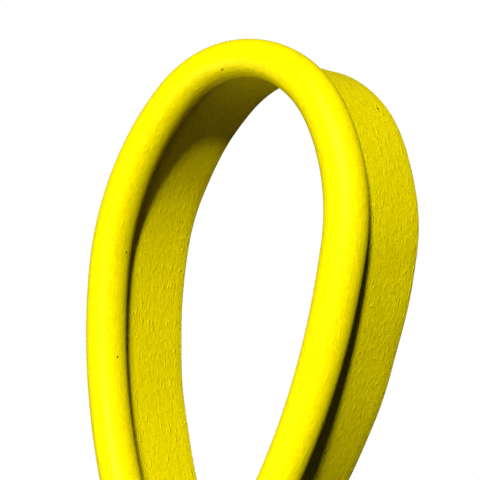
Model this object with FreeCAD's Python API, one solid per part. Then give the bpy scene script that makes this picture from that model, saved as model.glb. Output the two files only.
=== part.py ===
"""Eye-and-eye flat web sling made of one bead-edged coated band.

The sling lies on the free edge of its band: the band's width runs up along +Z and its bead is on top.
The long axis is Y. Eye A is at +Y and eye B at -Y, and eye B is eye A turned half round about Z.
The origin is the middle of the sling on the surface that it rests on.

The band is a polyester carrier web, hemmed round a rope, in a moulded PVC cover. The cover's round bead holds
the rope and its thin flange holds the web. The band's main ply runs straight through the body. At each end it
leaves the throat, goes round the eye and comes back as a tail. The tail's bead stops at a cap before the
throat, and its bare flange is lapped on the main ply and sewn.

The band bends at the two throats and at mid body, so it is cut into segments there. The segments' ends are
wedges, so that they clear each other over the whole bend.
"""

import FreeCAD, Part
import math
import os
from FreeCAD import Vector

# Band section, in mm. z is up from the free edge of the flange.
BAND_WIDTH = 50.0
BEAD_DIAMETER = 15.5
FLANGE_THICKNESS = 3.0
CORE_DIAMETER = 8.0
WEB_THICKNESS = 0.8
FIT_GAP = 0.05
WEB_MARGIN = 2.0
TAIL_TOP = 34.0

# Eye outline: radii and turns of the bead's centreline, from the throat round the crown and back.
THROAT_RADIUS = 105.0
MAIN_LEG_RADIUS, MAIN_LEG_TURN = 202.0, 26.0
MAIN_SHOULDER_RADIUS, MAIN_SHOULDER_TURN = 102.0, 41.3
CROWN_RADIUS, CROWN_TURN_MAIN, CROWN_TURN_TAIL = 44.0, 50.2, 52.1
TAIL_SHOULDER_RADIUS, TAIL_SHOULDER_TURN = 74.5, 40.3
TAIL_LEG_RADIUS, TAIL_LEG_TURN = 255.0, 26.0

# Body
BODY_HALF = 100.0
LAP_GAP = 0.1
LAP_LENGTH = 80.0
SEGMENT_GAP = 0.6
THROAT_BEND = 45.0
MIDDLE_BEND = 60.0
BEND_MARGIN = 3.0

# Bead end cap on the tail leg
CAP_DOME = 7.5
CAP_SPIGOT_LENGTH = 8.0
CAP_CLEARANCE = 0.1
BEAD_END_SHARE = 0.55

# Stitching
STITCH_PITCH = 5.0
STITCH_LENGTH = 3.6
STITCH_WIDTH = 0.9
STITCH_HEIGHT = 0.5
LAP_ROWS = (5.0, 12.5, 20.0, 27.5)
LAP_ROW_START, LAP_ROW_COUNT = 27.0, 10
BAR_TACK_PLACES = (80.0, 84.0)
BAR_TACK_COUNT = 6

# Label
LABEL_HINGE_Y = 24.6
LABEL_LENGTH = 52.0
LABEL_TAB_LENGTH = 5.5
LABEL_LOW, LABEL_HIGH = 3.0, 33.0
LABEL_THICKNESS = 0.8
LABEL_STANDOFF = 0.8
LABEL_CORNER = 3.0
PRINT_MARGIN = 3.5
PRINT_THICKNESS = 0.15
WINDOW_THICKNESS = 0.3

BEAD_RADIUS = BEAD_DIAMETER / 2
BEAD_Z = BAND_WIDTH - BEAD_RADIUS
CORE_RADIUS = CORE_DIAMETER / 2
HALF_FLANGE = FLANGE_THICKNESS / 2
TAIL_X = FLANGE_THICKNESS + LAP_GAP
UP = Vector(0, 0, 1)
ORIGIN = Vector(0, 0, 0)


def rad(degrees):
    return math.radians(degrees)


# --- band sections, drawn in the XZ plane and swept along +Y ---------------------------------------------


def disc(radius, z):
    edge = Part.makeCircle(radius, Vector(0, 0, z), Vector(0, 1, 0))
    return Part.Face(Part.Wire(edge))


def slab(half, low, high):
    corners = [(-half, low), (half, low), (half, high), (-half, high), (-half, low)]
    return Part.Face(Part.makePolygon([Vector(x, 0, z) for x, z in corners]))


def lollipop(radius, half, low):
    """A disc on a stick: the bead's round on top of the flange's strip, as one outline."""
    neck = BEAD_Z - math.sqrt(radius ** 2 - half ** 2)
    left, right = Vector(-half, 0, neck), Vector(half, 0, neck)
    head = Part.Arc(right, Vector(0, 0, BEAD_Z + radius), left).toShape()
    stick = Part.makePolygon([left, Vector(-half, 0, low), Vector(half, 0, low), right])
    return Part.Face(Part.Wire([head] + stick.Edges))


def beaded_sections():
    web_outer = CORE_RADIUS + WEB_THICKNESS
    pocket = lollipop(web_outer + FIT_GAP, WEB_THICKNESS + FIT_GAP, WEB_MARGIN - FIT_GAP)
    cover = lollipop(BEAD_RADIUS, HALF_FLANGE, 0).cut(pocket).Faces[0]
    web = lollipop(web_outer, WEB_THICKNESS, WEB_MARGIN).cut(disc(CORE_RADIUS, BEAD_Z)).Faces[0]
    core = disc(CORE_RADIUS - FIT_GAP, BEAD_Z)
    return cover, web, core


def bare_sections():
    pocket = slab(WEB_THICKNESS + FIT_GAP, WEB_MARGIN - FIT_GAP, TAIL_TOP - WEB_MARGIN + FIT_GAP)
    cover = slab(HALF_FLANGE, 0, TAIL_TOP).cut(pocket).Faces[0]
    web = slab(WEB_THICKNESS, WEB_MARGIN, TAIL_TOP - WEB_MARGIN)
    return cover, web


# --- route of the eye ------------------------------------------------------------------------------------


def step_of(heading, radius, turn):
    """How far an arc goes in x and y. A left turn is positive."""
    side = math.copysign(1, turn)
    x = radius * side * (math.sin(rad(heading + turn)) - math.sin(rad(heading)))
    y = -radius * side * (math.cos(rad(heading + turn)) - math.cos(rad(heading)))
    return x, y


def direction(heading):
    return math.cos(rad(heading)), math.sin(rad(heading))


def eye_route():
    """Runs from the main ply at the throat, round the eye, to the tail at the throat.

    Each run is (radius, turn), or (length, 0) for a straight one. The two straights close the route, so that
    the tail arrives beside the main ply.
    """
    main_spread = MAIN_LEG_TURN + MAIN_SHOULDER_TURN + CROWN_TURN_MAIN - 90
    tail_spread = TAIL_LEG_TURN + TAIL_SHOULDER_TURN + CROWN_TURN_TAIL - 90
    arcs_up = [(THROAT_RADIUS, main_spread)]
    arcs_round = [
        (MAIN_LEG_RADIUS, -MAIN_LEG_TURN),
        (MAIN_SHOULDER_RADIUS, -MAIN_SHOULDER_TURN),
        (CROWN_RADIUS, -CROWN_TURN_MAIN - CROWN_TURN_TAIL),
        (TAIL_SHOULDER_RADIUS, -TAIL_SHOULDER_TURN),
        (TAIL_LEG_RADIUS, -TAIL_LEG_TURN),
    ]
    arcs_down = [(THROAT_RADIUS, tail_spread)]
    heading, x, y = 90.0, 0.0, 0.0
    for radius, turn in arcs_up + arcs_round + arcs_down:
        dx, dy = step_of(heading, radius, turn)
        x, y, heading = x + dx, y + dy, heading + turn
    ax, ay = direction(90 + main_spread)
    bx, by = direction(270 - tail_spread)
    goal_x, goal_y = TAIL_X - x, -y
    det = ax * by - bx * ay
    main_straight = (goal_x * by - bx * goal_y) / det
    tail_straight = (ax * goal_y - goal_x * ay) / det
    with_bead = arcs_up + [(main_straight, 0)] + arcs_round + [(tail_straight * BEAD_END_SHARE, 0)]
    bare = [(tail_straight * (1 - BEAD_END_SHARE), 0)] + arcs_down
    return with_bead, bare


def placed(face, x, y, heading):
    moved = face.copy()
    moved.rotate(ORIGIN, UP, heading - 90)
    moved.translate(Vector(x, y, 0))
    return moved


def swept(face, runs, x, y, heading):
    """One solid of the section along the runs, and where it ends."""
    solids = []
    for size, turn in runs:
        start = placed(face, x, y, heading)
        if turn:
            side = math.copysign(1, turn)
            nx, ny = direction(heading + 90 * side)
            centre = Vector(x + size * nx, y + size * ny, 0)
            solids.append(start.revolve(centre, UP, turn))
            dx, dy = step_of(heading, size, turn)
        else:
            ux, uy = direction(heading)
            dx, dy = size * ux, size * uy
            solids.append(start.extrude(Vector(dx, dy, 0)))
        x, y, heading = x + dx, y + dy, heading + turn
    return joined(solids), (x, y, heading)


def joined(solids):
    if len(solids) == 1:
        return solids[0]
    return solids[0].multiFuse(solids[1:]).removeSplitter()


def straight(face, x, low, high):
    """The section along +Y from low to high."""
    start = face.copy()
    start.translate(Vector(x, low, 0))
    return start.extrude(Vector(0, high - low, 0))


# --- cuts that let the segments bend ---------------------------------------------------------------------


def bend_gap(x, y, bend):
    """What is cut away round a bend axis at (x, y): two wedges, open to the sides, and a slot between them."""
    reach = BEAD_DIAMETER
    rise = reach * math.tan(rad(bend / 2 + BEND_MARGIN)) + SEGMENT_GAP / 2
    slot = SEGMENT_GAP / 2
    outline = [(-reach, rise), (0, slot), (reach, rise), (reach, -rise), (0, -slot), (-reach, -rise)]
    points = [Vector(x + dx, y + dy, -1) for dx, dy in outline + outline[:1]]
    return Part.Face(Part.makePolygon(points)).extrude(Vector(0, 0, BAND_WIDTH + 2))


def turned(shape):
    """The same piece at the other end of the sling."""
    other = shape.copy()
    other.rotate(ORIGIN, UP, 180)
    return other


# --- pieces ----------------------------------------------------------------------------------------------


def cap_at(x, y, heading):
    """Moulded cap on the bead's end: a dome outside and a spigot in the bore."""
    dome = Part.makeSphere(BEAD_RADIUS, ORIGIN, Vector(0, 0, 1), -90, 90, 360)
    squeeze = FreeCAD.Matrix()
    squeeze.scale(1, CAP_DOME / BEAD_RADIUS, 1)
    dome = dome.transformGeometry(squeeze)
    front = Part.makeBox(2 * BEAD_DIAMETER, BEAD_DIAMETER, 2 * BEAD_DIAMETER)
    front.translate(Vector(-BEAD_DIAMETER, FIT_GAP, -BEAD_DIAMETER))
    spigot_radius = CORE_RADIUS - 2 * CAP_CLEARANCE
    spigot = Part.makeCylinder(spigot_radius, CAP_SPIGOT_LENGTH, Vector(0, 2 * FIT_GAP, 0), Vector(0, -1, 0))
    room = Part.makeCylinder(
        CORE_RADIUS + CAP_CLEARANCE, CAP_SPIGOT_LENGTH + CAP_CLEARANCE, ORIGIN, Vector(0, -1, 0)
    )
    cap = dome.common(front).fuse(spigot).removeSplitter()
    for shape in (cap, room):
        shape.rotate(ORIGIN, UP, heading - 90)
        shape.translate(Vector(x, y, BEAD_Z))
    return cap, room


def eye_pieces():
    cover_section, web_section, core_section = beaded_sections()
    bare_cover_section, bare_web_section = bare_sections()
    with_bead, bare = eye_route()
    throat = (0.0, BODY_HALF, 90.0)
    cover, bead_end = swept(cover_section, with_bead, *throat)
    web, _ = swept(web_section, with_bead, *throat)
    core, _ = swept(core_section, with_bead, *throat)
    bare_cover, _ = swept(bare_cover_section, bare, *bead_end)
    bare_web, _ = swept(bare_web_section, bare, *bead_end)
    cap, room = cap_at(*bead_end)
    gap = bend_gap(TAIL_X / 2, BODY_HALF, THROAT_BEND)
    return {
        "cover": joined([cover, bare_cover]).cut(gap),
        "carrier_web": joined([web, bare_web]).cut(gap),
        "bead_core": core.cut(gap).cut(room),
        "bead_end_cap": cap,
    }


def body_pieces():
    gaps = bend_gap(TAIL_X / 2, BODY_HALF, THROAT_BEND).fuse(bend_gap(0, 0, MIDDLE_BEND))
    names = ("cover", "carrier_web", "bead_core")
    return {name: straight(s, 0, 0, BODY_HALF).cut(gaps) for name, s in zip(names, beaded_sections())}


def tail_pieces():
    gap = bend_gap(TAIL_X / 2, BODY_HALF, THROAT_BEND)
    low = BODY_HALF - LAP_LENGTH
    cover, web = bare_sections()
    pocket = straight(slab(WEB_THICKNESS + FIT_GAP, WEB_MARGIN - FIT_GAP, TAIL_TOP - WEB_MARGIN + FIT_GAP),
                      TAIL_X, low + WEB_MARGIN - FIT_GAP, BODY_HALF)
    whole = straight(slab(HALF_FLANGE, 0, TAIL_TOP), TAIL_X, low, BODY_HALF)
    return {
        "cover": whole.cut(pocket).cut(gap),
        "carrier_web": straight(web, TAIL_X, low + WEB_MARGIN, BODY_HALF).cut(gap),
    }


def stitch(side_x, outward, y, z, length_y, length_z):
    low_x = min(side_x, side_x + outward * STITCH_HEIGHT)
    corner = Vector(low_x, y - length_y / 2, z - length_z / 2)
    return Part.makeBox(STITCH_HEIGHT, length_y, length_z, corner)


def lap_faces():
    """Where the seam shows: the main ply's outer face and the tail's outer face, with their outward sides."""
    return ((-HALF_FLANGE, -1), (TAIL_X + HALF_FLANGE, 1))


def lap_stitching():
    places = [LAP_ROW_START + STITCH_PITCH * i for i in range(LAP_ROW_COUNT)]
    return Part.Compound([
        stitch(x, side, y, z, STITCH_LENGTH, STITCH_WIDTH)
        for x, side in lap_faces()
        for z in LAP_ROWS
        for y in places
    ])


def bar_tacks():
    lowest = LAP_ROWS[0]
    return Part.Compound([
        stitch(x, side, y, lowest + STITCH_PITCH * (i + 0.1), STITCH_WIDTH, STITCH_LENGTH)
        for x, side in lap_faces()
        for y in BAR_TACK_PLACES
        for i in range(BAR_TACK_COUNT)
    ])


def plate(x, thickness, low_y, high_y, low_z, high_z, corner=0.0):
    """A flat plate across X, with rounded corners at its high-Y end if corner says so."""
    body = Part.makeBox(thickness, high_y - low_y, high_z - low_z, Vector(x, low_y, low_z))
    if not corner:
        return body
    ends = ({(high_y, low_z)}, {(high_y, high_z)})
    edges = [e for e in body.Edges if {(v.Y, v.Z) for v in e.Vertexes} in ends]
    return body.makeFillet(corner, edges)


def label_pieces():
    """A tag sewn by one edge to the main ply's outer face, near mid body, lying along it like a page."""
    flap_x = -HALF_FLANGE - LABEL_STANDOFF - LABEL_THICKNESS
    free_y = LABEL_HINGE_Y + LABEL_LENGTH
    tab_high = LABEL_HINGE_Y - SEGMENT_GAP
    tab_low = tab_high - LABEL_TAB_LENGTH
    print_area = (
        LABEL_HINGE_Y + PRINT_MARGIN,
        free_y - PRINT_MARGIN,
        LABEL_LOW + PRINT_MARGIN,
        LABEL_HIGH - PRINT_MARGIN,
    )
    panel_x = flap_x - PRINT_THICKNESS
    seam_y = (tab_low + tab_high) / 2
    seam = Part.Compound([
        stitch(flap_x, -1, seam_y, LABEL_LOW + STITCH_PITCH * (i + 0.5), STITCH_WIDTH, STITCH_LENGTH)
        for i in range(int((LABEL_HIGH - LABEL_LOW) / STITCH_PITCH))
    ])
    return {
        "label_sewn_edge": plate(
            flap_x, LABEL_THICKNESS + LABEL_STANDOFF, tab_low, tab_high, LABEL_LOW, LABEL_HIGH
        ),
        "label_flap": plate(
            flap_x, LABEL_THICKNESS, LABEL_HINGE_Y, free_y, LABEL_LOW, LABEL_HIGH, LABEL_CORNER
        ),
        "label_print_panel": plate(panel_x, PRINT_THICKNESS, *print_area),
        "label_window": plate(panel_x - WINDOW_THICKNESS, WINDOW_THICKNESS, *print_area),
        "label_stitching": seam,
    }


def sling():
    """Every node and its shape."""
    nodes = {}
    groups = {
        "eye": eye_pieces(),
        "body": body_pieces(),
        "tail": tail_pieces(),
        "lap": {"stitching": lap_stitching()},
        "throat": {"bar_tack": bar_tacks()},
    }
    for group, pieces in groups.items():
        for name, shape in pieces.items():
            nodes[f"{group}_a_{name}"] = shape
            nodes[f"{group}_b_{name}"] = turned(shape)
    nodes.update(label_pieces())
    return nodes


def main():
    os.makedirs("parts", exist_ok=True)
    for name, shape in sling().items():
        if not shape.isValid() or not shape.Solids:
            raise ValueError(f"{name} isn't a valid solid")
        box = shape.BoundBox
        print(name, len(shape.Solids), round(shape.Volume, 1), [
            round(v, 2) for v in (box.XMin, box.XMax, box.YMin, box.YMax, box.ZMin, box.ZMax)
        ])
        shape.exportStep(f"parts/{name}.step")


main()
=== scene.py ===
import math

import bmesh
import bpy
import numpy as np
from mathutils import Matrix, Vector


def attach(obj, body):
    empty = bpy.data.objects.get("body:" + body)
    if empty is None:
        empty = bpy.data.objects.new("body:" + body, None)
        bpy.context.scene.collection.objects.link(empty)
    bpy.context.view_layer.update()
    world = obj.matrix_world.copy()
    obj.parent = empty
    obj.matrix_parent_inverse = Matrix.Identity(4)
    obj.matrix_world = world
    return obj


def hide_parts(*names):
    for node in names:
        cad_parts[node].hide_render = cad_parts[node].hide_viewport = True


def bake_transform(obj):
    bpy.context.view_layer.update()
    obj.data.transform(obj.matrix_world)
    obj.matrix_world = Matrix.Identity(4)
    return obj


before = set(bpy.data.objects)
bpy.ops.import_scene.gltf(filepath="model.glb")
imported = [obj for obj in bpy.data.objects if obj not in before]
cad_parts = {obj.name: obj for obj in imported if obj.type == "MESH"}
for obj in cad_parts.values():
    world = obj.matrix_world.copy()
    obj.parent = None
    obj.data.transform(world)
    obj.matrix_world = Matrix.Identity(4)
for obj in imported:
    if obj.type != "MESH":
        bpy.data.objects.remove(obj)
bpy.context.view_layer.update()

MM = 0.001

# Band section, in mm, as in the CAD model. z is up from the flange's free edge.
BAND_WIDTH = 50.0
BEAD_RADIUS = 7.75
BEAD_Z = BAND_WIDTH - BEAD_RADIUS
HALF_FLANGE = 1.5
CORE_RADIUS = 4.0
WEB_THICKNESS = 0.8
FIT_GAP = 0.05
WEB_MARGIN = 2.0
TAIL_TOP = 34.0
TAIL_X = 3.1

# Route of the eye, as in the CAD model: (radius, turn in degrees) or (length, 0).
THROAT_RADIUS = 105.0
MAIN_ARCS = [(202.0, 26.0), (102.0, 41.3), (44.0, 50.2)]
TAIL_ARCS = [(44.0, 52.1), (74.5, 40.3), (255.0, 26.0)]
BEAD_END_SHARE = 0.55
BODY_HALF = 100.0
LAP_END = 20.0
MIDDLE_END = 18.0
RING_STEP = 1.5

# The core is a rope whose strands turn once in ROPE_LAY. The bead's cut end has a moulded cap, whose spigot takes
# the core's place.
ROPE_LAY = 26.0
CAP_DOME, CAP_LIP, CAP_SPIGOT = 7.5, 0.28, 8.0
SPIGOT_RADIUS, SPIGOT_GROOVE_RADIUS = 3.78, 3.55

# How the band's shape gives as it bends. Distances are along the bead from the crown, in mm: the main leg's are
# negative. The crown flattens the bead across the band, and the shoulders let it swell. Its side inside the eye
# bulges at the crown and is pressed in along the legs. The flange's free edge leans a little to one side: each of
# LEANS is (where, how far it spreads, how much). All but the flattening fades out over EYE_FADE at the eye's ends.
EYE_FADE = 60.0
CROWN_FLATTENING = 0.19
CROWN_SPREAD = 39.0
SWELL_AT = (-240, -160, -100, -45, 0, 22, 45, 100, 160, 192, 216)
SWELL = (1.10, 1.045, 1.07, 1.04, 1.0, 1.015, 1.03, 1.075, 1.04, 1.01, 1.0)
INNER_SIDE = (0.85, 0.80, 0.68, 0.84, 1.13, 1.18, 1.05, 0.97, 0.80, 0.77, 1.0)
LEANS = ((-235.0, 40.0, 0.5), (-60.0, 60.0, 0.4), (-25.0, 20.0, 0.8), (15.0, 28.0, 0.5), (95.0, 30.0, -0.5),
         (140.0, 70.0, -0.9), (190.0, 38.0, 1.3))

rad = math.radians


# --- route --------------------------------------------------------------------------------------------------


def arc_step(heading, radius, turn):
    side = math.copysign(1, turn)
    a, b = rad(heading), rad(heading + turn)
    return radius * side * (math.sin(b) - math.sin(a)), -radius * side * (math.cos(b) - math.cos(a))


def eye_runs():
    """The eye's runs with the bead, and those of the bare tail flange after the bead's end."""
    main_spread = sum(t for _, t in MAIN_ARCS) - 90
    tail_spread = sum(t for _, t in TAIL_ARCS) - 90
    up = [(THROAT_RADIUS, main_spread)]
    round_ = [(r, -t) for r, t in MAIN_ARCS + TAIL_ARCS]
    down = [(THROAT_RADIUS, tail_spread)]
    heading, x, y = 90.0, 0.0, 0.0
    for radius, turn in up + round_ + down:
        dx, dy = arc_step(heading, radius, turn)
        x, y, heading = x + dx, y + dy, heading + turn
    a = rad(90 + main_spread)
    b = rad(270 - tail_spread)
    sides = np.array([[math.cos(a), math.cos(b)], [math.sin(a), math.sin(b)]])
    main_straight, tail_straight = np.linalg.solve(sides, [TAIL_X - x, -y])
    beaded = up + [(main_straight, 0)] + round_ + [(tail_straight * BEAD_END_SHARE, 0)]
    bare = [(tail_straight * (1 - BEAD_END_SHARE), 0)] + down
    return beaded, bare


def walk(runs, x, y, heading, travelled=0.0):
    """Rows of (x, y, heading, travelled) along the runs, close enough together to bend smoothly."""
    rows = [(x, y, heading, travelled)]
    for size, turn in runs:
        length = size * rad(abs(turn)) if turn else size
        count = max(1, round(length / RING_STEP))
        for i in range(1, count + 1):
            share = i / count
            if turn:
                dx, dy = arc_step(heading, size, turn * share)
            else:
                dx, dy = size * share * math.cos(rad(heading)), size * share * math.sin(rad(heading))
            rows.append((x + dx, y + dy, heading + turn * share, travelled + length * share))
        x, y, heading, travelled = rows[-1]
    return np.array(rows)


BEADED, BARE = eye_runs()
MAIN_ROUTE = walk([(BODY_HALF - MIDDLE_END, 0)] + BEADED, 0.0, MIDDLE_END, 90.0)
TAIL_ROUTE = walk(BARE + [(BODY_HALF - LAP_END, 0)], *MAIN_ROUTE[-1])
MIDDLE_ROUTE = walk([(2 * MIDDLE_END, 0)], 0.0, -MIDDLE_END, 90.0, -2 * MIDDLE_END)
CROWN_AT = MAIN_ROUTE[np.argmax(MAIN_ROUTE[:, 1]), 3]
EYE_START, EYE_END = BODY_HALF - MIDDLE_END, TAIL_ROUTE[-1, 3] - (BODY_HALF - LAP_END)


# --- sections: closed outlines of (across, up) points -------------------------------------------------------


def foot(half, low):
    """The rounded bottom corner on the + side, and its radius."""
    corner = 0.7 * half
    points = [(half - corner + corner * math.sin(a), low + corner - corner * math.cos(a))
              for a in np.linspace(0, math.pi / 2, 5)]
    return points, corner


def lollipop(radius, half, low):
    """A bead on a flange."""
    neck = BEAD_Z - math.sqrt(radius ** 2 - half ** 2)
    side, corner = foot(half, low)
    side += [(half, z) for z in np.linspace(low + corner, neck - 0.5, 9)[1:]]
    side += [(half + 0.04, neck - 0.12)]
    start = math.asin(half / radius) + 0.05
    head = [(radius * math.sin(a), BEAD_Z - radius * math.cos(a))
            for a in np.linspace(start, 2 * math.pi - start, 53)]
    return np.array(side + head + [(-u, z) for u, z in reversed(side)])


def strip(half, low, high):
    """A bare flange."""
    quarter, corner = foot(half, low)
    side = quarter + [(half, z) for z in np.linspace(low + corner, high - corner, 9)[1:-1]]
    side += [(u, low + high - z) for u, z in reversed(quarter)]
    return np.array(side + [(-u, z) for u, z in reversed(side)])


def rope(count):
    """A rope's round outline, a little inside the web. swept() gives it three strands."""
    radius = CORE_RADIUS * 0.97
    return np.array([(radius * math.sin(a), BEAD_Z - radius * math.cos(a))
                     for a in np.linspace(0, 2 * math.pi, count, endpoint=False)])


# --- sweeping -----------------------------------------------------------------------------------------------


def swept(section, route, lay=0.0):
    """(rings along the route, rings on the straightened band), each (rows, points, 3), in mm. lay is the distance
    in which a rope's strands turn once."""
    across, up = section[:, 0], section[:, 1]
    along = route[:, 3:4]
    eye_share = np.clip(np.minimum(along - EYE_START, EYE_END - along) / EYE_FADE, 0, 1)
    past_crown = along - CROWN_AT
    swell = 1 + (np.interp(past_crown, SWELL_AT, SWELL) - 1) * eye_share
    squeeze = 1 - CROWN_FLATTENING * np.exp(-(past_crown / CROWN_SPREAD) ** 2)
    in_bead = np.maximum(np.abs(across) - HALF_FLANGE, 0) * np.sign(across)
    inner_side = np.interp(past_crown, SWELL_AT, INNER_SIDE) * eye_share + 1 - eye_share
    u = across - in_bead + in_bead * squeeze * swell * np.where(in_bead > 0, inner_side, 1)
    low_share = np.clip(1 - up / 36.0, 0, 1) ** 2
    lean = sum(size * np.exp(-((past_crown - at) / spread) ** 2) for at, spread, size in LEANS)
    u = u + lean * np.clip(1 - up / BEAD_Z, 0, 1) * eye_share
    ripple = (0.16 * np.sin(along / 9.7 + 0.9) + 0.12 * np.sin(along / 5.3 + 2.2)
              + 0.10 * np.sin(along / 23.0)) * eye_share
    u = u + ripple * low_share
    z = up + np.maximum(up - BEAD_Z, 0) * (swell - 1)
    if lay:
        angle = np.arctan2(across, BEAD_Z - up)[None, :] - 2 * math.pi * along / lay
        lobes = 0.88 + 0.12 * np.abs(np.cos(1.5 * angle))
        u = across * lobes
        z = BEAD_Z + (up - BEAD_Z) * lobes
    heading = np.radians(route[:, 2:3])
    x = route[:, 0:1] + u * np.sin(heading)
    y = route[:, 1:2] - u * np.cos(heading)
    return np.stack([x, y, z], 2), np.stack([u, along + 0 * u, z], 2)


def ring_faces(first, rows, count, flip=False):
    i = np.arange(rows - 1)[:, None] * count
    j = np.arange(count)[None, :]
    k = (j + 1) % count
    quads = first + np.stack([i + j, i + k, i + count + k, i + count + j], 2).reshape(-1, 4)
    return [tuple(q[::-1]) if flip else tuple(q) for q in quads.tolist()]


def bridge(a, b, count):
    return [(a + j, a + (j + 1) % count, b + (j + 1) % count, b + j) for j in range(count)]


def linked(obj):
    bpy.context.scene.collection.objects.link(obj)
    return obj


def make_piece(name, rings, open_start=False, open_end=False):
    """A closed mesh from one or two skins. rings is [(along the route, straightened)]: the outside and, for a
    tube or sleeve, the inside. An open end joins the two skins, and a closed one walls each off."""
    verts, rest, faces = [], [], []
    firsts = []
    for n, (world, flat) in enumerate(rings):
        rows, count, _ = world.shape
        first = len(verts)
        firsts.append((first, rows, count))
        verts += world.reshape(-1, 3).tolist()
        rest += flat.reshape(-1, 3).tolist()
        faces += ring_faces(first, rows, count, flip=bool(n))
        for is_open, row in ((open_start, 0), (open_end, rows - 1)):
            if not (is_open and len(rings) > 1):
                base = first + row * count
                faces.append(tuple(range(base, base + count)))
    if len(rings) > 1:
        (a, rows_a, count), (b, rows_b, _) = firsts
        if open_start:
            faces += bridge(a, b, count)
        if open_end:
            faces += bridge(a + (rows_a - 1) * count, b + (rows_b - 1) * count, count)
    mesh = bpy.data.meshes.new(name)
    mesh.from_pydata((np.array(verts) * MM).tolist(), [], faces)
    stored = mesh.attributes.new("band_mm", "FLOAT_VECTOR", "POINT")
    stored.data.foreach_set("vector", np.array(rest, np.float32).ravel())
    bm = bmesh.new()
    bm.from_mesh(mesh)
    bmesh.ops.triangulate(bm, faces=[f for f in bm.faces if len(f.verts) > 4])
    bmesh.ops.recalc_face_normals(bm, faces=bm.faces)
    for f in bm.faces:
        f.smooth = True
    for e in bm.edges:
        if len(e.link_faces) == 2 and e.calc_face_angle(0) > rad(50):
            e.smooth = False
    bm.to_mesh(mesh)
    bm.free()
    return linked(bpy.data.objects.new(name, mesh))


def turned(obj, name):
    """A copy at the sling's other end."""
    other = obj.copy()
    other.data = obj.data.copy()
    other.name = name
    other.data.name = name
    other.data.transform(Matrix.Rotation(math.pi, 4, "Z"))
    return linked(other)


def both_ends(obj):
    """The piece at end A, whose name ends in a, and its copy at end B."""
    return ("a", obj), ("b", turned(obj, obj.name[:-1] + "b"))


# --- materials ----------------------------------------------------------------------------------------------


class Nodes:
    """A short way to write a node tree."""

    def __init__(self, name):
        self.material = bpy.data.materials.new(name)
        self.material.use_nodes = True
        self.tree = self.material.node_tree
        self.tree.nodes.clear()
        self.output = self.tree.nodes.new("ShaderNodeOutputMaterial")

    def add(self, kind, inputs=(), **settings):
        node = self.tree.nodes.new("ShaderNode" + kind)
        for key, value in settings.items():
            setattr(node, key, value)
        for key, value in dict(inputs).items():
            if isinstance(value, bpy.types.NodeSocket):
                self.tree.links.new(value, node.inputs[key])
            else:
                node.inputs[key].default_value = value
        return node

    def place(self, attribute="band_mm"):
        """The point on the straightened band, or on the object, in mm."""
        if attribute:
            return self.add("Attribute", attribute_name=attribute).outputs["Vector"]
        spot = self.add("TexCoord").outputs["Object"]
        return self.add("VectorMath", {0: spot, "Scale": 1000.0}, operation="SCALE").outputs["Vector"]

    def stretched(self, vector, scale):
        return self.add("Mapping", {"Vector": vector, "Scale": scale}).outputs["Vector"]

    def noise(self, vector, scale, detail=2.0, roughness=0.5):
        placed = self.stretched(vector, scale)
        return self.add("TexNoise", {"Vector": placed, "Scale": 1.0, "Detail": detail, "Roughness": roughness}
                        ).outputs["Fac"]

    def ramp(self, value, low, high, to_low=0.0, to_high=1.0):
        return self.add("MapRange", {"Value": value, "From Min": low, "From Max": high, "To Min": to_low,
                                     "To Max": to_high}).outputs["Result"]

    def math(self, operation, a, b=0.0):
        return self.add("Math", {0: a, 1: b}, operation=operation).outputs[0]

    def mix(self, factor, a, b):
        node = self.add("Mix", data_type="RGBA")
        for socket, value in ((node.inputs[0], factor), (node.inputs[6], a), (node.inputs[7], b)):
            if isinstance(value, bpy.types.NodeSocket):
                self.tree.links.new(value, socket)
            else:
                socket.default_value = value
        return node.outputs[2]

    def bump(self, height, strength, distance_mm, normal=None):
        inputs = {"Height": height, "Strength": strength, "Distance": distance_mm * MM}
        if normal is not None:
            inputs["Normal"] = normal
        return self.add("Bump", inputs).outputs["Normal"]

    def finish(self, **inputs):
        named = {key.replace("_", " "): value for key, value in inputs.items()}
        shader = self.add("BsdfPrincipled", named)
        self.tree.links.new(shader.outputs[0], self.output.inputs[0])
        return self.material


def groove_grime(n, spot, mottle):
    """Painted shade: how much the groove under the bead is darkened, on the side that faces into the eye, along
    the main leg, where the bead's shadow falls.
    """
    axes = n.add("SeparateXYZ", {0: spot})
    across, along, up = axes.outputs
    near_neck = n.math("MULTIPLY", n.ramp(up, 28.0, 34.0), n.ramp(up, 36.0, 39.5, 1.0, 0.0))
    inside = n.math("MULTIPLY", n.ramp(across, 0.2, 0.8), n.ramp(along, CROWN_AT - 50, CROWN_AT - 20, 1.0, 0.0))
    past_throat = n.ramp(along, EYE_START, EYE_START + EYE_FADE)
    # painted shade: strongest just under the bead's neck, fading along the leg and out of the eye's throat
    painted_shade = n.math("MULTIPLY", near_neck, n.math("MULTIPLY", inside, past_throat))
    return n.math("MULTIPLY", painted_shade, n.ramp(mottle, 0.35, 0.65, 0.6, 0.85))


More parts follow.
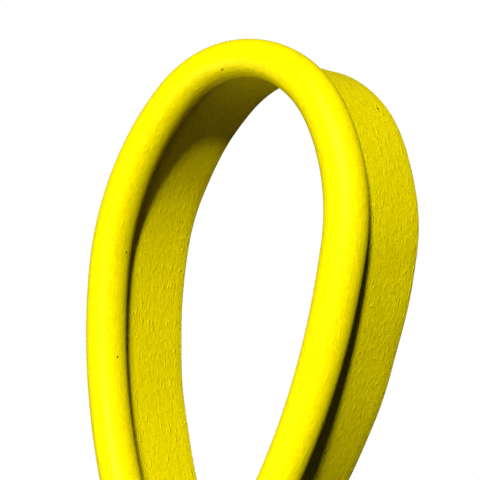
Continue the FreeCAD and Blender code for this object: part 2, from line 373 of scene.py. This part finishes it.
def pvc(name, attribute="band_mm"):
    """Extruded yellow PVC: lengthwise die lines, a fine pitted grain, raised flecks and a few dark specks, and on
    the band painted shade in the groove under the bead.
    """
    n = Nodes(name)
    spot = n.place(attribute)
    streaks = n.noise(spot, (2.0, 0.018, 2.0), 3.0)
    broad = n.noise(spot, (0.05, 0.02, 0.05), 2.0)
    mottle = n.noise(spot, (0.6, 0.35, 0.6), 3.0, 0.6)
    grain = n.noise(spot, (2.0, 1.5, 2.0), 2.0, 0.7)
    flecks = n.noise(spot, (0.9, 0.32, 0.9), 1.0)
    raised = n.ramp(flecks, 0.6, 0.76)
    cells = n.add("TexVoronoi", {"Vector": n.stretched(spot, (0.16, 0.12, 0.16)), "Scale": 1.0})
    dots = n.ramp(cells.outputs["Distance"], 0.05, 0.085, 1.0, 0.0)
    chosen = n.math("GREATER_THAN", n.add("SeparateColor", {0: cells.outputs["Color"]}).outputs[0], 0.72)
    specks = n.math("MULTIPLY", dots, chosen)
    shade = n.math("ADD", n.ramp(streaks, 0.3, 0.7, -0.04, 0.04), n.ramp(broad, 0.3, 0.7, -0.02, 0.02))
    shade = n.math("ADD", shade, n.ramp(grain, 0.3, 0.7, -0.08, 0.08))
    shade = n.math("ADD", shade, n.ramp(mottle, 0.3, 0.7, -0.07, 0.07))
    light = n.ramp(shade, -0.15, 0.15)
    colour = n.mix(light, (0.58, 0.475, 0.0, 1), (0.80, 0.68, 0.0, 1))
    if attribute:
        # painted shade: the groove under the bead is darkened towards near-black olive where the bead's shadow
        # falls
        colour = n.mix(groove_grime(n, spot, mottle), colour, (0.14, 0.11, 0.0, 1))
    colour = n.mix(specks, colour, (0.05, 0.04, 0.0, 1))
    height = n.math("ADD", n.math("MULTIPLY", streaks, 0.3), n.math("MULTIPLY", grain, 1.0))
    height = n.math("ADD", height, n.math("MULTIPLY", mottle, 0.8))
    height = n.math("ADD", height, n.math("MULTIPLY", raised, 0.8))
    height = n.math("SUBTRACT", height, n.math("MULTIPLY", specks, 1.2))
    if attribute:
        up = n.add("SeparateXYZ", {0: spot}).outputs[2]
        height = n.math("MULTIPLY", height, n.ramp(up, 34.0, 37.0, 1.0, 0.5))
    gloss = n.math("ADD", n.ramp(streaks, 0.3, 0.7, 0.34, 0.46), n.ramp(grain, 0.3, 0.7, -0.03, 0.05))
    return n.finish(
        Base_Color=colour, Roughness=gloss, Normal=n.bump(height, 1.0, 0.2),
        Specular_IOR_Level=0.35, Specular_Tint=(1.0, 0.9, 0.1, 1),
    )


def weave(name, colour, dark, attribute="band_mm", pitch=0.9):
    n = Nodes(name)
    spot = n.add("SeparateXYZ", {0: n.place(attribute)})
    turn = 2 * math.pi / pitch
    warp = n.math("SINE", n.math("MULTIPLY", spot.outputs[2], turn))
    weft = n.math("SINE", n.math("MULTIPLY", spot.outputs[1], turn))
    cross = n.math("MULTIPLY", warp, weft)
    thread = n.math("ADD", n.math("MULTIPLY", n.math("ABSOLUTE", warp), 0.5), n.math("MULTIPLY", cross, 0.5))
    fuzz = n.noise(n.place(attribute), (6.0, 6.0, 6.0), 2.0)
    share = n.math("ADD", n.ramp(thread, -0.5, 1.0, 0.1, 0.9), n.ramp(fuzz, 0.3, 0.7, -0.1, 0.1))
    return n.finish(
        Base_Color=n.mix(share, dark, colour), Roughness=n.ramp(fuzz, 0.2, 0.8, 0.7, 0.95),
        Normal=n.bump(thread, 0.8, 0.15), Sheen_Weight=0.3, Specular_IOR_Level=0.25,
    )


def twisted_thread(name, colour, dark):
    n = Nodes(name)
    spot = n.place(None)
    twist = n.add("TexWave", {"Vector": spot, "Scale": 0.9, "Distortion": 0.6, "Detail": 1.0},
                  wave_type="BANDS", bands_direction="DIAGONAL").outputs["Fac"]
    fuzz = n.noise(spot, (4.0, 4.0, 4.0), 2.0)
    return n.finish(
        Base_Color=n.mix(n.ramp(twist, 0.1, 0.9), dark, colour), Roughness=n.ramp(fuzz, 0.2, 0.8, 0.45, 0.7),
        Normal=n.bump(twist, 0.6, 0.1), Sheen_Weight=0.2,
    )


def paint(obj, material):
    obj.data.materials.clear()
    obj.data.materials.append(material)
    return obj


PVC = pvc("yellow_pvc")
PVC_CAP = pvc("yellow_pvc_cap", None)
WEB = weave("carrier_weave", (0.80, 0.79, 0.74, 1), (0.52, 0.51, 0.47, 1))
ROPE = weave("core_rope", (0.84, 0.83, 0.78, 1), (0.58, 0.56, 0.52, 1), pitch=0.6)
THREAD = twisted_thread("yellow_thread", (0.85, 0.72, 0.03, 1), (0.55, 0.45, 0.01, 1))

# --- band ---------------------------------------------------------------------------------------------------

COVER = lollipop(BEAD_RADIUS, HALF_FLANGE, 0)
POCKET = lollipop(CORE_RADIUS + WEB_THICKNESS + FIT_GAP, WEB_THICKNESS + FIT_GAP, WEB_MARGIN - FIT_GAP)
HEMMED_WEB = lollipop(CORE_RADIUS + WEB_THICKNESS, WEB_THICKNESS, WEB_MARGIN)
BARE_COVER = strip(HALF_FLANGE, 0, TAIL_TOP)
BARE_POCKET = strip(WEB_THICKNESS + FIT_GAP, WEB_MARGIN - FIT_GAP, TAIL_TOP - WEB_MARGIN + FIT_GAP)
BARE_WEB = strip(WEB_THICKNESS, WEB_MARGIN, TAIL_TOP - WEB_MARGIN)
CORE = rope(36)
BORE = np.array([(CORE_RADIUS * math.sin(a), BEAD_Z - CORE_RADIUS * math.cos(a))
                 for a in np.arctan2(HEMMED_WEB[:, 0], BEAD_Z - HEMMED_WEB[:, 1])])


def short_of_end(route, distance):
    return route[: max(2, len(route) - round(distance / RING_STEP))]


def band_pieces(end):
    """The pieces of one end, each with the CAD nodes it stands for, and its slot and material."""
    covers = [f"eye_{end}_cover", f"body_{end}_cover"]
    webs = [f"eye_{end}_carrier_web", f"body_{end}_carrier_web"]
    cores = [f"eye_{end}_bead_core", f"body_{end}_bead_core"]
    inner_tail = short_of_end(TAIL_ROUTE, WEB_MARGIN)
    core_route = short_of_end(MAIN_ROUTE, CAP_SPIGOT)
    return [
        ("band_cover", [swept(COVER, MAIN_ROUTE), swept(POCKET, MAIN_ROUTE)], True, True, covers, "cover", PVC),
        ("tail_cover", [swept(BARE_COVER, TAIL_ROUTE), swept(BARE_POCKET, inner_tail)], True, False,
         [f"tail_{end}_cover"], "cover", PVC),
        ("band_carrier_web", [swept(HEMMED_WEB, MAIN_ROUTE), swept(BORE, MAIN_ROUTE)], True, True, webs,
         "carrier_web", WEB),
        ("tail_carrier_web", [swept(BARE_WEB, inner_tail)], False, False, [f"tail_{end}_carrier_web"],
         "carrier_web", WEB),
        ("band_bead_core", [swept(CORE, core_route, lay=ROPE_LAY)], False, False, cores, "bead_core", ROPE),
    ]


def lay_band():
    for name, rings, open_start, open_end, nodes, slot, material in band_pieces("a"):
        for end, obj in both_ends(make_piece(f"{name}_a", rings, open_start, open_end)):
            paint(obj, material)
            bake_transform(obj)
            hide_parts(*[n.replace("_a_", f"_{end}_") for n in nodes])
    middle = [
        ("middle_cover", [swept(COVER, MIDDLE_ROUTE), swept(POCKET, MIDDLE_ROUTE)], True, "cover", PVC),
        ("middle_carrier_web", [swept(HEMMED_WEB, MIDDLE_ROUTE), swept(BORE, MIDDLE_ROUTE)], True,
         "carrier_web", WEB),
        ("middle_bead_core", [swept(CORE, MIDDLE_ROUTE, lay=ROPE_LAY)], False, "bead_core", ROPE),
    ]
    for name, rings, is_open, slot, material in middle:
        obj = paint(make_piece(name, rings, is_open, is_open), material)
        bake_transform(obj)


lay_band()

# --- stitching ----------------------------------------------------------------------------------------------

LAP_ROWS = (5.0, 12.5, 20.0, 27.5)
LAP_STITCHES = [27.0 + 5.0 * i for i in range(10)]
STITCH_LENGTH, STITCH_HALF_WIDTH, STITCH_HEIGHT = 3.6, 0.42, 0.5
TACK_AT, TACK_HALF = 82.0, 2.3
TACK_COUNT, TACK_LOW, TACK_PITCH, TACK_LEAN = 34, 3.9, 0.83, 0.8
OUTER_FACES = ((-HALF_FLANGE, -1), (TAIL_X + HALF_FLANGE, 1))


def object_from(name, verts, faces, smooth=True):
    mesh = bpy.data.meshes.new(name)
    mesh.from_pydata((np.array(verts) * MM).tolist(), [], faces)
    bm = bmesh.new()
    bm.from_mesh(mesh)
    bmesh.ops.recalc_face_normals(bm, faces=bm.faces)
    for f in bm.faces:
        f.smooth = smooth
    bm.to_mesh(mesh)
    bm.free()
    return linked(bpy.data.objects.new(name, mesh))


def stitches(name, places, steps=9, sides=8):
    """Thread that rises out of the face and goes back in. Each place is (x, side, (y, z), (dy, dz))."""
    verts, faces = [], []
    for n, (x, side, middle, span) in enumerate(places):
        first = len(verts)
        along = np.array(span) / np.hypot(*span)
        across = np.array([-along[1], along[0]])
        pull = 0.05 * math.sin(2.1 * n)  # no two stitches are pulled quite alike
        for t in np.linspace(0, 1, steps):
            rise = math.sin(math.pi * t) ** 0.45
            centre = np.array(middle) + np.array(span) * (t - 0.5) + across * pull * math.sin(math.pi * t)
            width = STITCH_HALF_WIDTH * (0.45 + 0.55 * rise)
            height = STITCH_HEIGHT / 2 * (0.35 + 0.65 * rise)
            lift = (STITCH_HEIGHT - height) * rise - 0.15 * (1 - rise)
            for a in np.linspace(0, 2 * math.pi, sides, endpoint=False):
                spot = centre + across * width * math.cos(a)
                verts.append((x + side * (lift + height * math.sin(a)), spot[0], spot[1]))
        faces += ring_faces(first, steps, sides)
        faces += [tuple(range(first, first + sides)),
                  tuple(range(first + (steps - 1) * sides, first + steps * sides))]
    return object_from(name, verts, faces)


def sew():
    seam = [(x, side, (y, z), (STITCH_LENGTH, 0.0)) for x, side in OUTER_FACES for z in LAP_ROWS
            for y in LAP_STITCHES]
    tack = []
    for x, side in OUTER_FACES:
        for i in range(TACK_COUNT):
            lean = TACK_LEAN if i % 2 else -TACK_LEAN
            tack.append((x, side, (TACK_AT, TACK_LOW + TACK_PITCH * i), (2 * TACK_HALF, lean)))
    for name, places, node in (
        ("lap_stitches", seam, "lap_{}_stitching"),
        ("bar_tack", tack, "throat_{}_bar_tack"),
    ):
        for end, obj in both_ends(stitches(f"{name}_a", places)):
            paint(obj, THREAD)
            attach(obj, f"body_{end}")
            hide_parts(node.format(end))


sew()

# --- bead end caps ------------------------------------------------------------------------------------------


def cap_mesh(name):
    """A moulded plug: a domed head with a fine parting rib and lip, and a ribbed spigot in the bead's bore."""
    end_x, end_y, heading, _ = MAIN_ROUTE[-1]
    outline = [(0.0, CAP_DOME)]
    outline += [(BEAD_RADIUS * math.sin(a), CAP_DOME * math.cos(a)) for a in np.linspace(0.08, math.pi / 2, 18)]
    lip = BEAD_RADIUS + CAP_LIP
    outline += [(BEAD_RADIUS, 0.9), (lip, 0.75), (lip, 0.3), (BEAD_RADIUS, 0.08)]
    outline.sort(key=lambda p: (-p[1], p[0]))  # the lip's points go in among the dome's
    outline += [(SPIGOT_RADIUS, 0.08)]
    for i in range(6):
        outline += [(SPIGOT_RADIUS, -0.6 - 1.2 * i), (SPIGOT_GROOVE_RADIUS, -0.9 - 1.2 * i),
                    (SPIGOT_GROOVE_RADIUS, -1.3 - 1.2 * i), (SPIGOT_RADIUS, -1.5 - 1.2 * i)]
    outline += [(3.2, 0.1 - CAP_SPIGOT), (0.0, 0.1 - CAP_SPIGOT)]
    count = 40
    along = np.array([math.cos(rad(heading)), math.sin(rad(heading))])
    out = np.array([along[1], -along[0]])
    verts = []
    for r, d in outline[1:-1]:
        for a in np.linspace(0, 2 * math.pi, count, endpoint=False):
            rib = 0.12 if r > 3.9 and abs(math.sin(a)) < 0.06 else 0.0
            spot = np.array([end_x, end_y]) + along * d + out * (r + rib) * math.cos(a)
            verts.append((spot[0], spot[1], BEAD_Z + (r + rib) * math.sin(a)))
    rows = len(outline) - 2
    faces = ring_faces(0, rows, count)
    for d, base in ((outline[0][1], 0), (outline[-1][1], (rows - 1) * count)):
        spot = np.array([end_x, end_y]) + along * d
        verts.append((spot[0], spot[1], BEAD_Z))
        faces += [(base + j, base + (j + 1) % count, len(verts) - 1) for j in range(count)]
    return object_from(name, verts, faces)


def plug_beads():
    for end, obj in both_ends(cap_mesh("bead_plug_a")):
        paint(obj, PVC_CAP)
        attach(obj, f"eye_{end}")
        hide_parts(f"eye_{end}_bead_end_cap")


plug_beads()

# --- label --------------------------------------------------------------------------------------------------

LABEL_Y, LABEL_LENGTH, LABEL_Z, LABEL_HEIGHT = 24.6, 52.0, 3.0, 30.0
LABEL_FACE, LABEL_THICKNESS, LABEL_CORNER, LABEL_BOW = -3.1, 0.8, 3.0, 0.6
PRINT_MARGIN, HEM = 3.5, 1.8
SEWN_EDGE_LOW_Y, SEWN_EDGE_HIGH_Y, SEWN_EDGE_THICKNESS = 18.5, 24.0, 1.6


def bow(y):
    """How far the flap stands out from flat, away from the band, at y."""
    return LABEL_BOW * np.clip((y - LABEL_Y) / LABEL_LENGTH, 0, 1) ** 2


def plate(name, face_x, thickness, low, high, corner, hem=0.0):
    """A sheet with rounded edges and, if corner says so, rounded corners at its high-Y end. low and high are
    (y, z). A hem makes its border a little thicker."""
    fine = np.array([0, 0.08, 0.25, 0.5])
    grids = []
    for a, b in zip(low, high):
        middle = np.linspace(a + 0.8, b - 0.8, max(4, round((b - a) / 1.0)))
        grids.append(np.concatenate([a + fine, middle, (b - fine)[::-1]]))
    ys, zs = grids
    y, z = np.meshgrid(ys, zs, indexing="ij")
    share = (z - low[1]) / (high[1] - low[1])
    inset = np.zeros_like(y)
    if corner:
        past = np.clip(y - (high[0] - corner), 0, corner)
        inset = corner - np.sqrt(corner ** 2 - past ** 2)
    z = low[1] + inset + share * (high[1] - low[1] - 2 * inset)
    edge = np.minimum.reduce([y - low[0], high[0] - y, z - low[1] - inset, high[1] - inset - z])
    full = np.sqrt(np.clip(1 - (1 - np.clip(edge / 0.5, 0, 1)) ** 2, 0, 1))
    half = thickness / 2 * (0.25 + 0.75 * full)
    if hem:
        half = half + 0.12 * np.clip((hem - edge) / 0.3, 0, 1) * full
    centre = face_x + thickness / 2 - bow(y)
    ny, nz = y.shape
    verts = np.concatenate([np.stack([centre + s * half, y, z], 2).reshape(-1, 3) for s in (-1, 1)])
    k = np.arange(ny * nz).reshape(ny, nz)
    quads = np.stack([k[:-1, :-1], k[1:, :-1], k[1:, 1:], k[:-1, 1:]], 2).reshape(-1, 4)
    faces = [tuple(q) for q in quads.tolist()] + [tuple(q) for q in (quads[:, ::-1] + ny * nz).tolist()]
    rim = np.concatenate([k[:, 0], k[-1, 1:], k[-2::-1, -1], k[0, -2:0:-1]])
    after = np.roll(rim, -1)
    faces += [(a, b, b + ny * nz, a + ny * nz) for a, b in zip(rim.tolist(), after.tolist())]
    return object_from(name, verts, faces)


def ruled_panel(name):
    """A matt white panel with ruled, empty fields."""
    n = Nodes(name)
    spot = n.place(None)
    axes = n.add("SeparateXYZ", {0: spot})
    y, z = axes.outputs[1], axes.outputs[2]
    rule = n.math("FRACT", n.math("DIVIDE", n.math("SUBTRACT", z, LABEL_Z + PRINT_MARGIN + 1.5), 4.0))
    line = n.math("LESS_THAN", rule, 0.09)
    column = n.math("LESS_THAN", n.math("ABSOLUTE", n.math("SUBTRACT", y, LABEL_Y + 18.0)), 0.18)
    marks = n.math("MAXIMUM", line, column)
    band = n.math("GREATER_THAN", z, LABEL_Z + LABEL_HEIGHT - PRINT_MARGIN - 4.6)
    fibre = n.noise(spot, (3.0, 3.0, 3.0), 2.0)
    paper = n.mix(n.ramp(fibre, 0.3, 0.7), (0.82, 0.82, 0.80, 1), (0.90, 0.90, 0.88, 1))
    colour = n.mix(marks, paper, (0.10, 0.12, 0.18, 1))
    colour = n.mix(band, colour, (0.03, 0.13, 0.42, 1))
    return n.finish(Base_Color=colour, Roughness=n.ramp(fibre, 0.3, 0.7, 0.5, 0.7),
                    Normal=n.bump(fibre, 0.2, 0.03))


def clear_film(name):
    n = Nodes(name)
    scuffs = n.noise(n.place(None), (0.5, 0.12, 3.0), 3.0)
    return n.finish(Base_Color=(0.95, 0.97, 0.98, 1), Roughness=n.ramp(scuffs, 0.35, 0.75, 0.06, 0.3), Alpha=0.12,
                    Normal=n.bump(scuffs, 0.2, 0.05), IOR=1.5)


def tag():
    cloth = weave("label_weave", (0.03, 0.14, 0.44, 1), (0.012, 0.05, 0.20, 1), None, 0.55)
    white_thread = twisted_thread("label_thread", (0.80, 0.80, 0.76, 1), (0.50, 0.50, 0.47, 1))
    top = LABEL_Z + LABEL_HEIGHT
    free = LABEL_Y + LABEL_LENGTH
    seam_y = (SEWN_EDGE_LOW_Y + SEWN_EDGE_HIGH_Y) / 2
    inner = ((LABEL_Y + PRINT_MARGIN, LABEL_Z + PRINT_MARGIN), (free - PRINT_MARGIN, top - PRINT_MARGIN))
    pieces = [
        ("tag_sewn_edge", plate("tag_sewn_edge", LABEL_FACE, SEWN_EDGE_THICKNESS, (SEWN_EDGE_LOW_Y, LABEL_Z),
                                (SEWN_EDGE_HIGH_Y, top), 0), cloth, "label", "body_a", "label_sewn_edge"),
        ("tag_flap", plate("tag_flap", LABEL_FACE, LABEL_THICKNESS, (LABEL_Y, LABEL_Z), (free, top),
                           LABEL_CORNER, HEM), cloth, "label", "label", "label_flap"),
        ("tag_panel", plate("tag_panel", LABEL_FACE - 0.15, 0.15, *inner, 1.0), ruled_panel("tag_print"),
         "label_print_panel", "label", "label_print_panel"),
        ("tag_window", plate("tag_window", LABEL_FACE - 0.45, 0.28, *inner, 1.0), clear_film("tag_film"),
         "label_window", "label", "label_window"),
        ("tag_stitches", stitches("tag_stitches", [
            (LABEL_FACE, -1, (seam_y, LABEL_Z + 1.6 + 2.98 * i), (0.0, 2.4)) for i in range(10)
        ]), white_thread, "stitching", "body_a", "label_stitching"),
    ]
    for name, obj, material, slot, body, node in pieces:
        paint(obj, material)
        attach(obj, body)
        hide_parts(node)


tag()

# --- camera, stage and light --------------------------------------------------------------------------------

CROWN = Vector((7.66, 348.79, BEAD_Z)) * MM
CAMERA_POLAR, CAMERA_SIDE, CAMERA_ROLL = 0.679, -0.017, 0.108
CAMERA_DISTANCE, CAMERA_X, CAMERA_Y = 0.8133, -0.00412, -0.06656
LENS = 167.8


def place_camera():
    away = Vector((math.sin(CAMERA_POLAR) * math.cos(CAMERA_SIDE), math.sin(CAMERA_POLAR) * math.sin(CAMERA_SIDE),
                   math.cos(CAMERA_POLAR)))
    right = (-away).cross(Vector((0, 1, 0))).normalized()
    up = right.cross(-away)
    right, up = (math.cos(CAMERA_ROLL) * right + math.sin(CAMERA_ROLL) * up,
                 -math.sin(CAMERA_ROLL) * right + math.cos(CAMERA_ROLL) * up)
    camera = linked(bpy.data.objects.new("camera", bpy.data.cameras.new("camera")))
    spot = CROWN + away * CAMERA_DISTANCE + right * CAMERA_X + up * CAMERA_Y
    camera.matrix_world = Matrix(((right.x, up.x, away.x, spot.x), (right.y, up.y, away.y, spot.y),
                                  (right.z, up.z, away.z, spot.z), (0, 0, 0, 1)))
    camera.data.lens = LENS
    camera.data.sensor_width = 36
    camera.data.clip_start = 0.01
    camera.data.clip_end = 50
    bpy.context.scene.camera = camera


def glowing(name, colour, strength):
    n = Nodes(name)
    glow = n.add("Emission", {"Color": colour, "Strength": strength})
    n.tree.links.new(glow.outputs[0], n.output.inputs[0])
    return n.material


def lay_backdrop():
    """A white dome all round and under the sling. Only the camera sees it, so it neither lights nor shades."""
    mesh = bpy.data.meshes.new("backdrop")
    bm = bmesh.new()
    bmesh.ops.create_uvsphere(bm, u_segments=32, v_segments=16, radius=8.0)
    bm.to_mesh(mesh)
    bm.free()
    dome = linked(bpy.data.objects.new("backdrop", mesh))
    mesh.materials.append(glowing("backdrop_white", (1, 1, 1, 1), 1.0))
    for flag in ("visible_diffuse", "visible_glossy", "visible_transmission", "visible_shadow"):
        setattr(dome, flag, False)


def add_sun(name, direction, strength, size):
    light = bpy.data.lights.new(name, "SUN")
    light.energy = strength
    light.angle = rad(size)
    obj = linked(bpy.data.objects.new(name, light))
    obj.rotation_mode = "QUATERNION"
    obj.rotation_quaternion = Vector(direction).to_track_quat("Z", "Y")


def light_scene():
    world = bpy.data.worlds.new("studio")
    world.use_nodes = True
    colour, strength = world.node_tree.nodes["Background"].inputs[:2]
    colour.default_value = (1, 1, 1, 1)
    strength.default_value = 0.02
    bpy.context.scene.world = world
    add_sun("key_high", (0.43, 0.36, 0.83), 3.9, 5)
    add_sun("key_low", (0.41, 0.55, 0.73), 2.6, 6)
    add_sun("fill", (-0.38, -0.62, 0.69), 1.6, 30)
    bpy.context.scene.view_settings.view_transform = "Standard"


place_camera()
lay_backdrop()
light_scene()
